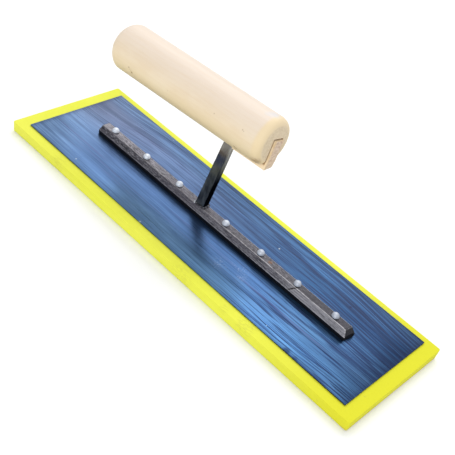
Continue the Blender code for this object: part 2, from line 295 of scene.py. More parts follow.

# tones along the blade, from heel to toe, on its near and far sides: partly the blade's own tint
# and partly painted light, the paler heel a painted reflection and the near side's middle painted
# shade from the grip
BLADE_NEAR = tones(
    (0.02, 105, 135, 175),
    (0.18, 79, 107, 146),
    (0.34, 81, 114, 158),
    (0.50, 74, 108, 152),
    (0.66, 79, 119, 168),
    (0.84, 70, 111, 154),
    (0.98, 61, 97, 137),
)
BLADE_FAR = tones(
    (0.02, 93, 105, 134),
    (0.26, 80, 101, 137),
    (0.50, 52, 80, 118),
    (0.74, 31, 70, 110),
    (0.98, 19, 55, 95),
)
BLADE_DEEP = srgb(42, 62, 90)
BLADE_RIM_BLUE = srgb(78, 120, 168)
BLADE_LIFT = (1.34, 1.30, 1.24)
BLADE_SINK = (0.42, 0.44, 0.54)
BLADE_MAUVE = srgb(72, 76, 112)
BLADE_DARK = srgb(34, 46, 80)
BLADE_STREAK = srgb(24, 32, 62)
BLADE_SPECK = srgb(165, 174, 184)
# y, start x, end x, half width in millimetres, then strength
BLADE_STREAKS = [
    (45.6, -36.0, 158.0, 1.0, 0.75),
    (32.6, -45.0, 60.0, 1.3, 0.55),
    (33.6, 50.0, 150.0, 0.8, 0.85),
    (38.2, -40.0, 30.0, 0.7, 0.40),
    (20.8, -20.0, 108.0, 0.7, 0.55),
    (27.0, 10.0, 80.0, 0.6, 0.45),
    (25.0, 90.0, 160.0, 0.9, 0.65),
    (17.6, 80.0, 138.0, 0.9, 0.75),
    (38.8, 96.0, 160.0, 0.7, 0.55),
    (12.6, 20.0, 76.0, 0.6, 0.45),
    (-11.4, 10.0, 90.0, 0.7, 0.50),
    (-14.4, 92.0, 134.0, 0.8, 0.65),
    (-30.2, 44.0, 108.0, 0.7, 0.55),
    (-35.4, 90.0, 126.0, 0.6, 0.50),
    (-39.6, 76.0, 160.0, 0.8, 0.60),
    (-24.4, 118.0, 162.0, 0.9, 0.70),
    (-11.8, 128.0, 165.0, 0.9, 0.70),
    (-3.0, 150.0, 165.0, 1.0, 0.80),
    (-43.4, 146.0, 164.0, 1.0, 0.60),
    (19.0, -66.0, -34.0, 0.6, 0.60),
    (34.4, -134.0, -104.0, 0.6, 0.40),
    (-41.4, -160.0, -112.0, 0.7, 0.40),
]
# broader bands with a violet cast
BLADE_BANDS = [
    (-21.8, 46.0, 124.0, 1.3, 0.75),
    (-21.8, -158.0, -104.0, 1.0, 0.70),
    (-26.4, -150.0, 44.0, 0.9, 0.40),
    (-31.4, -154.0, -120.0, 0.9, 0.45),
    (-31.6, -94.0, -58.0, 1.2, 0.50),
    (-16.6, -30.0, 40.0, 1.0, 0.40),
    (41.5, -120.0, -50.0, 1.4, 0.35),
    (29.0, -150.0, -90.0, 1.4, 0.35),
]
BLADE_DARK_SPOTS = [
    (111.9, 27.7, 0.95, 1.0),
    (112.0, -45.2, 2.6, 0.7),
    (120.0, -45.6, 2.0, 0.5),
    (66.0, 8.5, 0.5, 0.6),
]
BLADE_SPECKS = [
    (41.8, 27.1, 0.6),
    (-113.9, -41.5, 0.6),
    (-34.3, -45.9, 0.7),
    (-96.0, 46.0, 0.35),
    (89.0, -40.0, 0.35),
]
# broad paler and darker areas, mostly painted light and shade: the grip's painted shadow beside
# the spine, a painted lighter near edge beside the grip, and a painted reflection at the heel's
# far corner; start x, end x, softness, start y, end y, softness, tone, strength
BLADE_LIGHT_AND_SHADE_AREAS = [
    (-128.0, 76.0, 16.0, -26.0, 2.0, 7.0, BLADE_SINK, 0.52),
    (-75.0, 75.0, 16.0, -54.0, -33.0, 6.0, BLADE_LIFT, 0.60),
    (-190.0, -50.0, 20.0, 35.0, 56.0, 6.0, BLADE_LIFT, 0.80),
    (100.0, 190.0, 20.0, 34.0, 60.0, 8.0, BLADE_SINK, 0.28),
    (-126.0, -76.0, 14.0, -39.0, -27.0, 6.0, BLADE_SINK, 0.26),
    (105.0, 136.0, 12.0, -31.0, -22.0, 5.0, BLADE_SINK, 0.30),
]
SCUFF_X = 37.0
SCUFF_Y = -23.0

SPINE_TONES = tones(
    (0.0, 44, 42, 48),
    (0.45, 98, 96, 103),
    (1.0, 150, 147, 153),
)
SPINE_PALE = srgb(158, 155, 162)
SPINE_DARK = srgb(44, 43, 49)
SPINE_MAUVE = srgb(100, 95, 105)
SPINE_BLACK = srgb(13, 13, 19)
SPINE_BRIGHT = srgb(196, 194, 198)
SPINE_RUST = srgb(122, 84, 52)
SPINE_LAP = srgb(30, 27, 20)
RUST_PLACE = (52.8, 0.6, 17.5)

RIVET_BRIGHT = srgb(216, 221, 230)
RIVET_GREY = srgb(198, 204, 215)
RIVET_DULL = srgb(146, 152, 166)

TANG_TONES = tones((0.0, 38, 42, 50), (0.5, 65, 70, 76), (1.0, 91, 95, 99))
TANG_GREY = srgb(84, 90, 98)
TANG_SHADE_BLACK = srgb(4, 5, 9)
TANG_HIGHLIGHT = srgb(150, 148, 146)
TANG_SPECK = srgb(160, 168, 178)
# height, half height in millimetres, tint, strength
TANG_TINTS = [
    (60.0, 5.0, srgb(70, 70, 56), 0.55),
    (69.5, 4.2, srgb(26, 32, 62), 0.75),
    (77.0, 3.0, srgb(96, 74, 48), 0.55),
    (83.0, 4.0, srgb(146, 140, 131), 0.80),
]

WELD_TONES = tones((0.0, 26, 26, 32), (0.6, 70, 69, 76), (1.0, 120, 119, 126))
WELD_HIGHLIGHT_PLACE = (-23.6, -2.6, 18.6)

WOOD_TOP_LIGHT = srgb(223, 207, 191)
WOOD_PALE = srgb(228, 211, 183)
WOOD_CREAM = srgb(223, 203, 171)
WOOD_UNDER_SHADE = srgb(220, 200, 156)
WOOD_RING = srgb(212, 184, 142)
WOOD_FLECK = srgb(182, 148, 104)
WOOD_TURNED = srgb(226, 204, 163)
WOOD_END = srgb(221, 203, 174)
WOOD_END_DEEP = srgb(207, 187, 154)
WOOD_SLOT_SHADE = srgb(146, 102, 58)
WOOD_KNOT = srgb(150, 118, 74)
WOOD_FILLER = srgb(208, 206, 208)
# x, y, z in the grip's frame, radius in millimetres, then strength
WOOD_KNOTS = [
    (-85.8, -16.9, -7.0, 0.55, 0.8),
    (-82.9, -15.4, -9.8, 0.75, 1.0),
    (-84.8, -16.5, -8.0, 0.40, 0.55),
    (-83.9, -16.0, -8.9, 0.40, 0.55),
    (-46.0, -17.4, -4.6, 0.35, 0.5),
    (-2.8, -18.2, 1.4, 0.45, 0.5),
    (22.5, -18.0, 3.2, 0.45, 0.55),
    (23.7, -18.1, 2.8, 0.40, 0.5),
    (18.4, -13.2, -12.6, 0.7, 0.7),
    (19.8, -12.4, -13.4, 0.8, 0.7),
]
WOOD_PATCHES = [(31.5, -1.9, 18.2, 3.6, 0.75), (28.4, -5.0, 17.6, 2.4, 0.4)]
WOOD_SMUDGE = (36.5, -11.0, -14.5)
WOOD_RING_WIDTH = 3.6

STRIP_LIGHT = srgb(238, 216, 182)
STRIP_CREAM = srgb(232, 206, 164)
STRIP_FIBRE = srgb(216, 184, 138)
STRIP_END_TONES = tones((0.0, 190, 160, 134), (0.5, 214, 190, 166), (1.0, 226, 206, 188))
STRIP_PIT = srgb(176, 150, 126)
STRIP_EDGE = srgb(226, 196, 150)

FLOOR_TONE = (0.92, 0.92, 0.92)
FLOOR_TONE_LOW = (0.90, 0.90, 0.905)


# ======== shader helpers
class Shade:
    """A procedural material. mm is the place in millimetres, in the row frame or in the one given.

    Every length, place and size that these methods take is in millimetres.
    """

    def __init__(self, name, metallic=0.0, frame=None):
        self.colour = None
        self.material = bpy.data.materials.new(name)
        self.material.use_nodes = True
        self.tree = self.material.node_tree
        self.shader = self.tree.nodes["Principled BSDF"]
        self.set("Metallic", metallic)
        place = self.node("TexCoord").outputs["Object"]
        if frame is not None:
            place = self.vector("SUBTRACT", place, tuple(frame.translation))
            axes = [tuple(frame.col[k].xyz) for k in range(3)]
            place = self.combine(*(self.vector("DOT_PRODUCT", place, axis) for axis in axes))
        self.mm = self.vector("MULTIPLY", place, (1 / MM, 1 / MM, 1 / MM))
        self.x, self.y, self.z = self.node("SeparateXYZ", (self.mm,)).outputs

    def feed(self, socket, value):
        if isinstance(value, bpy.types.NodeSocket):
            self.tree.links.new(value, socket)
        elif isinstance(value, tuple) and len(value) == 3 and len(socket.default_value) == 4:
            socket.default_value = (*value, 1.0)
        else:
            socket.default_value = value

    def node(self, kind, values=(), settings=(), **inputs):
        """New node, with inputs by order or by name and its other settings by name."""
        node = self.tree.nodes.new("ShaderNode" + kind)
        for name, value in dict(settings).items():
            setattr(node, name, value)
        for socket, value in zip(node.inputs, values):
            self.feed(socket, value)
        for name, value in inputs.items():
            self.feed(node.inputs[name], value)
        return node

    def set(self, name, value):
        self.feed(self.shader.inputs[name], value)

    def vector(self, operation, a, b=None):
        values = (a,) if b is None else (a, b)
        outputs = self.node("VectorMath", values, {"operation": operation}).outputs
        return outputs["Value" if operation in ("LENGTH", "DISTANCE", "DOT_PRODUCT") else "Vector"]

    def math(self, operation, a, b=0.0):
        return self.node("Math", (a, b), {"operation": operation}).outputs[0]

    def times(self, first, *others):
        for other in others:
            first = self.math("MULTIPLY", first, other)
        return first

    def plus(self, first, *others):
        for other in others:
            first = self.math("ADD", first, other)
        return first

    def minus(self, a, b):
        return self.math("SUBTRACT", a, b)

    def apart(self, a, b=0.0):
        """How far a value is from another, or from zero."""
        return self.math("ABSOLUTE", self.minus(a, b))

    def combine(self, x, y, z):
        return self.node("CombineXYZ", (x, y, z)).outputs[0]

    def texture(self, kind, lengths, offset=(0.0, 0.0, 0.0), source=None, **inputs):
        """Texture node whose features have the given length along each axis."""
        scale = tuple(1 / length for length in lengths)
        start = self.mm if source is None else source
        place = self.node("Mapping", Vector=start, Location=offset, Scale=scale).outputs[0]
        return self.node(kind, Vector=place, Scale=1.0, **inputs)

    def noise(self, lengths, detail, roughness=0.5, distortion=0.0, **where):
        look = {"Detail": detail, "Roughness": roughness, "Distortion": distortion}
        return self.texture("TexNoise", lengths, **where, **look).outputs["Fac"]

    def cells(self, lengths):
        return self.texture("TexVoronoi", lengths).outputs["Distance"]

    def span(self, value, low, high, to_low, to_high):
        """Smooth step of a value from one range onto another."""
        values = (value, low, high, to_low, to_high)
        return self.node("MapRange", values, {"interpolation_type": "SMOOTHSTEP"}).outputs[0]

    def rise(self, value, low, high, top=1.0):
        return self.span(value, low, high, 0.0, top)

    def fall(self, value, low, high, top=1.0):
        return self.span(value, low, high, top, 0.0)

    def band(self, value, start, end, soft):
        """One inside a range, fading to nothing over a soft edge on each side."""
        rise = self.rise(value, start - soft, start + soft)
        return self.times(rise, self.fall(value, end - soft, end + soft))

    def spot(self, centre, radius, soft=0.5):
        """Round mark with a soft edge."""
        away = self.vector("DISTANCE", self.mm, centre)
        return self.fall(away, radius * (1 - soft), radius * (1 + soft))

    def facing(self, axis):
        """One where the surface faces along the axis, and minus one where it faces away."""
        return self.vector("DOT_PRODUCT", self.node("NewGeometry").outputs["Normal"], axis)

    def ramp(self, value, stops):
        node = self.node("ValToRGB", (value,))
        elements = node.color_ramp.elements
        while len(elements) < len(stops):
            elements.new(0.5)
        for element, (place, colour) in zip(elements, stops):
            element.position = place
            element.color = (*colour, 1.0)
        return node.outputs["Color"]

    def mix(self, amount, a, b, blend="MIX"):
        node = self.node("Mix", (amount,), {"data_type": "RGBA", "blend_type": blend})
        self.feed(node.inputs[6], a)
        self.feed(node.inputs[7], b)
        return node.outputs[2]

    def paint(self, tone, *amounts, blend="MIX"):
        """Lays a tone over the colour so far, by the product of the amounts."""
        self.colour = self.mix(self.times(*amounts), self.colour, tone, blend)

    def painted(self):
        self.set("Base Color", self.colour)
        return self.material

    def bump(self, *layers):
        """Layers are (height, distance)."""
        normal = None
        for height, distance in layers:
            node = self.node("Bump", Height=height, Distance=distance * MM)
            if normal is not None:
                self.feed(node.inputs["Normal"], normal)
            normal = node.outputs[0]
        self.set("Normal", normal)


# ======== mesh helpers
def make_piece(name, bm, matrix=None, smooth=40.0, look=None):
    if matrix is not None:
        bm.transform(matrix)
    bmesh.ops.recalc_face_normals(bm, faces=bm.faces[:])
    mesh = bpy.data.meshes.new(name)
    bm.to_mesh(mesh)
    bm.free()
    piece = bpy.data.objects.new(name, mesh)
    PIECES.objects.link(piece)
    if look is not None:
        mesh.materials.append(look)
    soften(mesh, smooth)
    return piece


def soften(mesh, angle):
    for polygon in mesh.polygons:
        polygon.use_smooth = True
    mesh.set_sharp_from_angle(angle=math.radians(angle))


def loft(sections, looped=False):
    """Quads between equal-length point loops, capped at both ends or looped round."""
    bm = bmesh.new()
    rings = [[bm.verts.new(p) for p in section] for section in sections]
    count = len(rings[0])
    pairs = list(zip(rings, rings[1:]))
    if looped:
        pairs.append((rings[-1], rings[0]))
    for low, high in pairs:
        for i in range(count):
            j = (i + 1) % count
            bm.faces.new((low[i], low[j], high[j], high[i]))
    if not looped:
        bm.faces.new(list(reversed(rings[0])))
        bm.faces.new(rings[-1])
    return bm


def cut_away(piece, cutters, smooth):
    """Takes each cutter's shape out of the piece, then removes the cutters."""
    for cutter in cutters:
        modifier = piece.modifiers.new(cutter.name, "BOOLEAN")
        modifier.operation = "DIFFERENCE"
        modifier.solver = "EXACT"
        modifier.object = cutter
    bpy.context.view_layer.update()
    graph = bpy.context.evaluated_depsgraph_get()
    mesh = bpy.data.meshes.new_from_object(piece.evaluated_get(graph))
    piece.modifiers.clear()
    piece.data = mesh
    soften(mesh, smooth)
    for cutter in cutters:
        bpy.data.objects.remove(cutter, do_unlink=True)


def hold(piece, node):
    """The piece stands for a CAD node and moves with the one body."""
    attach(piece, "root")
    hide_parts(node)


def rough(point, size, seed):
    """Signed noise, about -1 to 1, with features of the given size in metres."""
    return noise.noise(Vector(point) / size + Vector((seed, seed * 0.37, -seed * 0.61)))


def unit(value):
    """The value kept between nothing and one."""
    return max(0.0, min(1.0, value))


def quarter_turns(steps):
    return [math.radians(90 * step / steps) for step in range(steps + 1)]


def curve(start, middle, finish, t):
    return start * (1 - t) ** 2 + middle * 2 * t * (1 - t) + finish * t**2


def filleted(corners, radii, steps):
    """Closed polygon with each corner rounded."""
    points = []
    count = len(corners)
    for i in range(count):
        here = Vector(corners[i])
        back = (Vector(corners[i - 1]) - here).normalized()
        ahead = (Vector(corners[(i + 1) % count]) - here).normalized()
        half = back.angle(ahead) / 2
        reach = radii[i] / math.tan(half)
        start = here + back * reach
        finish = here + ahead * reach
        points += [curve(start, here, finish, k / steps) for k in range(steps + 1)]
    return points


def divided(points, spacing):
    """The same closed polygon with its long sides split up."""
    made = []
    for here, there in zip(points, points[1:] + points[:1]):
        parts = max(1, round((there - here).length / spacing))
        made += [here.lerp(there, k / parts) for k in range(parts)]
    return made


def rounded_plan(low, high, corner, parts):
    """Anticlockwise rounded rectangle; parts is how many pieces its long and short sides have."""
    corners = ((high[0], high[1]), (low[0], high[1]), (low[0], low[1]), (high[0], low[1]))
    bends = filleted(corners, [corner] * 4, CORNER_TURNS)
    size = CORNER_TURNS + 1
    made = []
    for side in range(4):
        bend = bends[side * size:(side + 1) * size]
        start = bend[-1]
        finish = bends[(side + 1) * size % len(bends)]
        split = parts[side % 2]
        made += bend
        made += [start.lerp(finish, k / split) for k in range(1, split)]
    return made


def circle(radius, z, x, y, count):
    turns = [2 * math.pi * i / count for i in range(count)]
    return [(x + radius * math.cos(t), y + radius * math.sin(t), z) for t in turns]


def foot_cutters(radius, tenon, low, high):
    """Cutters from one height to another for the rivets and for the tang's tenon."""
    cutters = []
    for place in rivet_places():
        ends = [circle(radius, z, place.x, place.y, HOLE_SIDES) for z in (low, high)]
        cutters.append(make_piece("cutter", loft(ends)))
    half_x, half_y = [size / 2 + POCKET_MARGIN for size in tenon]
    x0, x1 = TANG_FOOT.x - half_x, TANG_FOOT.x + half_x
    y0, y1 = CENTRE_Y - half_y, CENTRE_Y + half_y
    ends = [[(x0, y0, z), (x1, y0, z), (x1, y1, z), (x0, y1, z)] for z in (low, high)]
    cutters.append(make_piece("cutter", loft(ends)))
    return cutters


# ======== materials
def foam_material():
    s = Shade("foam_rubber")
    s.set("Specular IOR Level", 0.25)
    broad = s.noise((60.0, 34.0, 9.0), 2.0)
    mottle = s.noise((1.7, 1.7, 1.3), 4.0, 0.65)
    pores = s.cells((0.75, 0.75, 0.75))
    s.colour = s.mix(s.rise(broad, 0.35, 0.68), FOAM_LIGHT, FOAM_DEEP)
    s.paint(FOAM_TOE, s.rise(s.x, 70.0, 174.0))
    # painted shade: both ends are painted a little darker, evening out the grip's shadow across
    # the middle
    s.paint(FOAM_END_SHADE, s.rise(s.apart(s.x), 70.0, 130.0), blend="MULTIPLY")
    s.paint(FOAM_SHADE, s.rise(mottle, 0.52, 0.78, 0.3))
    s.paint(FOAM_SHADE, s.fall(pores, 0.0, 0.2, 0.2))
    # cut toe end: darker along its lower edge
    low = s.fall(s.plus(s.z, s.times(broad, 1.5)), 0.6, 4.6, 0.8)
    s.paint(FOAM_LOW_EDGE, s.rise(s.x, 170.0, 176.0), low)
    for x, y, z, radius, strength in FOAM_MARKS:
        grain = s.noise((3.2, 1.1, 1.1), 3.0, offset=(x, 0.0, 0.0))
        s.paint(FOAM_MARK, s.spot((x, y, z), radius), s.rise(grain, 0.42, 0.62, strength))
    s.set("Roughness", s.span(mottle, 0.3, 0.7, 0.8, 0.92))
    s.bump((mottle, 0.1), (pores, 0.07))
    return s.painted()


def blade_material():
    s = Shade("blued_steel", metallic=0.88)
    # the rolling grain is straight, and closes in a little towards both ends
    slow = s.noise((150.0, 60.0, 60.0), 1.0)
    toe_swing = s.times(s.rise(s.x, 88.0, 168.0), s.span(s.y, -45.0, 46.0, -3.5, 6.0))
    heel_swing = s.times(s.fall(s.x, -168.0, -76.0), s.rise(s.y, -16.0, 14.0, 9.0))
    drift = s.times(s.minus(slow, 0.5), 2.4)
    across = s.plus(s.y, s.plus(toe_swing, heel_swing), drift)
    flow = s.combine(s.x, across, 0.0)
    hair = s.noise((46.0, 1.0, 1.0), 3.0, 0.6, source=flow)
    fibre = s.noise((64.0, 1.9, 1.0), 3.0, 0.6, source=flow)
    streak = s.noise((80.0, 2.4, 1.0), 2.0, 0.6, offset=(3.7, 1.3, 0.0), source=flow)
    wide = s.noise((150.0, 8.0, 1.0), 2.0, offset=(0.4, 5.1, 0.0), source=flow)
    cloud = s.noise((34.0, 12.0, 1.0), 3.0, offset=(1.9, 0.2, 0.0))
    half_length = PLATE_HIGH.x / MM
    along = s.math("DIVIDE", s.plus(s.x, half_length), 2 * half_length)
    # base tones, partly painted light from the ramps above
    s.colour = s.mix(s.rise(s.y, -16.0, 20.0), s.ramp(along, BLADE_NEAR), s.ramp(along, BLADE_FAR))
    # painted shade: a darker band along both sides of the spine, under the grip, fading towards
    # the toe on the near side
    far_shade = s.fall(s.y, 12.0, 30.0, 0.35)
    near_shade = s.times(s.rise(s.y, -38.0, -20.0, 0.92), s.span(s.x, 55.0, 110.0, 1.0, 0.7))
    s.paint(BLADE_DEEP, s.math("MINIMUM", far_shade, near_shade))
    s.paint(BLADE_RIM_BLUE, s.rise(s.y, 28.0, 42.0, 0.42))
    # painted light and shade in broad areas
    for x0, x1, soft_x, y0, y1, soft_y, tone, strength in BLADE_LIGHT_AND_SHADE_AREAS:
        area = (s.band(s.x, x0, x1, soft_x), s.band(s.y, y0, y1, soft_y))
        s.paint(tone, *area, strength, blend="MULTIPLY")
    s.paint(BLADE_DEEP, s.rise(wide, 0.42, 0.66, 0.35))
    s.paint(BLADE_LIFT, s.rise(cloud, 0.46, 0.7, 0.5), blend="MULTIPLY")
    s.paint(BLADE_LIFT, s.rise(fibre, 0.44, 0.66), blend="MULTIPLY")
    # dark streaks lie closer together on the far side and towards the toe
    near_part = s.span(s.x, 20.0, 90.0, 0.3, 1.0)
    far_part = s.times(s.rise(s.y, -10.0, 8.0), s.span(s.x, -60.0, 110.0, 0.6, 1.0))
    streaky = s.math("MAXIMUM", near_part, far_part)
    density = s.plus(streak, s.plus(s.times(s.x, 0.0003), s.times(s.y, 0.0009)))
    s.paint(BLADE_SINK, streaky, s.rise(density, 0.52, 0.62), blend="MULTIPLY")
    s.paint(BLADE_SINK, streaky, s.rise(hair, 0.5, 0.66, 0.5), blend="MULTIPLY")
    threads = s.noise((58.0, 1.25, 1.0), 1.0, offset=(8.0, 2.6, 0.0), source=flow)
    s.paint(BLADE_STREAK, s.rise(threads, 0.57, 0.62, 0.75), streaky)
    for lines, tone in ((BLADE_BANDS, BLADE_MAUVE), (BLADE_STREAKS, BLADE_STREAK)):
        for y, start, end, width, strength in lines:
            line = s.fall(s.apart(across, y), width * 0.3, width)
            broken = s.span(fibre, 0.3, 0.62, 1.0, 0.35)
            s.paint(tone, line, s.band(s.x, start, end, 9.0), broken, strength)
    # darker film along the edges
    rim_x = s.rise(s.apart(s.x), 160.0, 165.0)
    rim_y = s.rise(s.apart(s.y, CENTRE_Y / MM), 45.4, 47.6)
    s.paint(BLADE_DARK, s.math("MAXIMUM", rim_x, rim_y), 0.45)
    z = PLATE_HIGH.z / MM
    for x, y, radius, strength in BLADE_DARK_SPOTS:
        s.paint(BLADE_STREAK, s.spot((x, y, z), radius), strength)
    specks = 0.0
    for x, y, radius in BLADE_SPECKS:
        specks = s.math("MAXIMUM", specks, s.spot((x, y, z), radius))
    scuffs = s.noise((1.6, 3.4, 1.0), 2.0, 0.5, offset=(9.0, 2.0, 0.0), distortion=1.2)
    scuffs = s.fall(s.apart(scuffs, 0.5), 0.0, 0.026)
    area = s.noise((22.0, 11.0, 1.0), 2.0, offset=(2.0, 7.0, 0.0))
    place = s.times(s.spot((SCUFF_X, SCUFF_Y, z), 12.0), s.rise(area, 0.45, 0.6))
    scuffs = s.times(scuffs, place, 0.6)
    pale = s.math("MAXIMUM", specks, scuffs)
    s.paint(BLADE_SPECK, pale)
    s.set("Roughness", s.plus(s.span(fibre, 0.3, 0.7, 0.27, 0.33), s.times(pale, 0.3)))
    s.bump((hair, 0.006), (streak, 0.015))
    return s.painted()


def spine_material():
    s = Shade("scaled_steel", metallic=0.55)
    top_z = SPINE_HIGH.z / MM
    shoulder_z = SPINE_SHOULDER / MM
    middle_y = CENTRE_Y / MM
    ridge_y = SPINE_RIDGE / MM
    grain = s.noise((2.6, 0.8, 0.8), 5.0, 0.68)
    fine = s.noise((0.7, 0.35, 0.35), 4.0, 0.7)
    long = s.noise((14.0, 0.55, 0.6), 3.0, 0.6, offset=(2.0, 0.0, 0.0))
    patch = s.noise((26.0, 5.0, 5.0), 3.0)
    s.colour = s.ramp(s.rise(grain, 0.3, 0.72), SPINE_TONES)
    s.paint(SPINE_PALE, s.rise(long, 0.46, 0.68, 0.62))
    s.paint(SPINE_DARK, s.rise(fine, 0.5, 0.68, 0.55))
    s.paint(SPINE_BLACK, s.fall(long, 0.32, 0.47, 0.6))
    s.paint(SPINE_MAUVE, s.rise(patch, 0.44, 0.62, 0.4))
    # painted light: the top is painted paler at the heel and darker at the toe, and the bevels the
    # other way round, as the light catches each face
    top = s.rise(s.z, top_z - 0.5, top_z - 0.2)
    s.paint(SPINE_PALE, top, s.fall(s.x, -140.0, -100.0, 0.4))
    s.paint(SPINE_DARK, top, s.rise(s.x, -100.0, 20.0, 0.5))
    s.paint(SPINE_DARK, top, s.rise(s.x, 66.0, 96.0, 0.65))
    slope = s.band(s.z, shoulder_z + 0.2, top_z - 0.35, 0.2)
    s.paint(SPINE_DARK, slope, s.fall(s.x, -125.0, 100.0, 0.38))
    pits = s.noise((3.2, 1.3, 1.3), 3.0, 0.6, offset=(6.0, 1.0, 0.0))
    pits = s.times(s.rise(pits, 0.5, 0.6), s.span(s.x, -130.0, -10.0, 0.62, 0.15))
    middle = s.band(s.z, shoulder_z + 0.9, top_z - 0.7, 0.5)
    s.paint(SPINE_BLACK, pits, middle)
    s.paint(SPINE_PALE, s.rise(grain, 0.53, 0.66, 0.8), s.fall(s.x, -130.0, 20.0), slope)
    # painted highlight on the bevels towards the toe
    toeward = s.rise(s.x, 50.0, 92.0, 0.47)
    s.paint(SPINE_BRIGHT, slope, toeward, s.span(long, 0.4, 0.6, 0.4, 1.0))
    # lap in the steel beside one rivet, dark where oil has stayed in it
    lap = s.plus(s.x, s.times(s.z, LAP_LEAN))
    lap = s.minus(lap, (LAP_X + SPINE_SHOULDER * LAP_LEAN) / MM)
    lap = s.plus(lap, s.times(s.minus(grain, 0.5), 1.6))
    lap = s.fall(s.apart(lap), 0.35, 0.95)
    s.paint(SPINE_LAP, lap, s.fall(s.y, middle_y - 1.6, middle_y - 0.6, 0.9))
    # painted shade: the bar's low upright sides are painted near black where it stands on the
    # blade, over its dark scale
    s.paint(SPINE_BLACK, s.fall(s.z, shoulder_z - 0.45, shoulder_z + 0.05))
    # edges rubbed bright: the shoulder under each bevel and the ridges above it
    shoulder = s.band(s.z, shoulder_z + 0.02, shoulder_z + 0.34, 0.1)
    ridge = s.times(s.band(s.apart(s.y, middle_y), ridge_y - 0.35, ridge_y + 0.25, 0.12), top)
    rubbed = s.times(s.math("MAXIMUM", shoulder, ridge), s.span(s.x, -70.0, 70.0, 0.25, 0.85))
    s.paint(SPINE_BRIGHT, rubbed, s.span(grain, 0.34, 0.56, 0.35, 1.0))
    # painted shade: the toe end face, turned from the light, is painted near black inside its
    # rubbed arrises
    s.paint(SPINE_BLACK, s.rise(s.facing(TOEWARD), 0.62, 0.84, 0.8))
    s.paint(SPINE_RUST, s.spot(RUST_PLACE, 1.5), s.rise(fine, 0.42, 0.56))
    s.set("Roughness", s.span(grain, 0.3, 0.7, 0.6, 0.4))
    s.bump((grain, 0.16), (fine, 0.07), (long, 0.05))
    return s.painted()


def rivet_material():
    s = Shade("bright_rivet", metallic=0.45)
    tone = s.noise((1.6, 1.6, 1.6), 3.0)
    fine = s.noise((0.35, 0.35, 0.5), 4.0, 0.65)
    s.colour = s.mix(s.rise(tone, 0.36, 0.66), RIVET_BRIGHT, RIVET_GREY)
    s.paint(RIVET_DULL, s.rise(fine, 0.56, 0.72, 0.5))
    # painted shade low on each head, where it meets the bar
    s.paint(RIVET_DULL, s.fall(s.z, SPINE_HIGH.z / MM + 0.3, SPINE_HIGH.z / MM + 0.7, 0.4))
    # painted shade: the heads darker towards the toe
    s.paint(RIVET_DULL, s.rise(s.x, -60.0, 90.0, 0.58))
    s.set("Roughness", s.span(fine, 0.3, 0.7, 0.42, 0.58))
    s.bump((tone, 0.12), (fine, 0.03))
    return s.painted()


def tang_material():
    s = Shade("black_forged_steel")
    run = s.noise((0.9, 0.9, 26.0), 4.0, 0.6)
    cloud = s.noise((5.0, 5.0, 9.0), 3.0, 0.55)
    fine = s.noise((0.5, 0.5, 0.8), 4.0, 0.7)
    s.colour = s.ramp(s.rise(cloud, 0.3, 0.72), TANG_TONES)
    s.paint(TANG_GREY, s.rise(run, 0.5, 0.72, 0.5))
    # heat tint below the grip: blue-black, olive, then straw and brown
    height = s.plus(s.z, s.times(cloud, 9.0))
    for centre, spread, tint, strength in TANG_TINTS:
        band = s.band(height, centre - spread, centre + spread, spread * 0.8)
        s.paint(tint, band, s.span(run, 0.36, 0.6, 0.45, 1.0), strength)
    # toe side, turned from the light: painted highlights in two streaks high up, and painted shade
    # nearly black low down
    toe = s.rise(s.facing(TOEWARD), 0.45, 0.85)
    streaks = s.noise((3.0, 1.3, 60.0), 1.0, offset=(0.0, 0.45, 0.0))
    s.paint(TANG_HIGHLIGHT, toe, s.rise(s.z, 48.0, 74.0, 0.85), s.rise(streaks, 0.4, 0.62))
    dark = s.times(toe, s.fall(s.z, 42.0, 68.0))
    s.paint(TANG_SHADE_BLACK, dark)
    unshaded = s.minus(1.0, dark)
    s.set("Metallic", s.times(unshaded, 0.7))
    s.set("Specular IOR Level", s.times(unshaded, 0.5))
    specks = s.cells((2.6, 2.6, 4.2))
    s.paint(TANG_SPECK, s.fall(specks, 0.06, 0.13), s.rise(cloud, 0.45, 0.55), 0.45)
    s.set("Roughness", s.span(run, 0.3, 0.7, 0.3, 0.46))
    s.bump((cloud, 0.25), (fine, 0.05))
    return s.painted()


def weld_material():
    s = Shade("weld_scale", metallic=0.6)
    lump = s.noise((1.2, 1.2, 1.2), 4.0, 0.6)
    s.colour = s.ramp(s.rise(lump, 0.34, 0.68), WELD_TONES)
    # painted highlight on the bead's near corner
    s.paint(RIVET_BRIGHT, s.spot(WELD_HIGHLIGHT_PLACE, 1.6), s.rise(lump, 0.4, 0.55))
    s.set("Roughness", s.span(lump, 0.3, 0.7, 0.35, 0.55))
    s.bump((lump, 0.25))
    return s.painted()


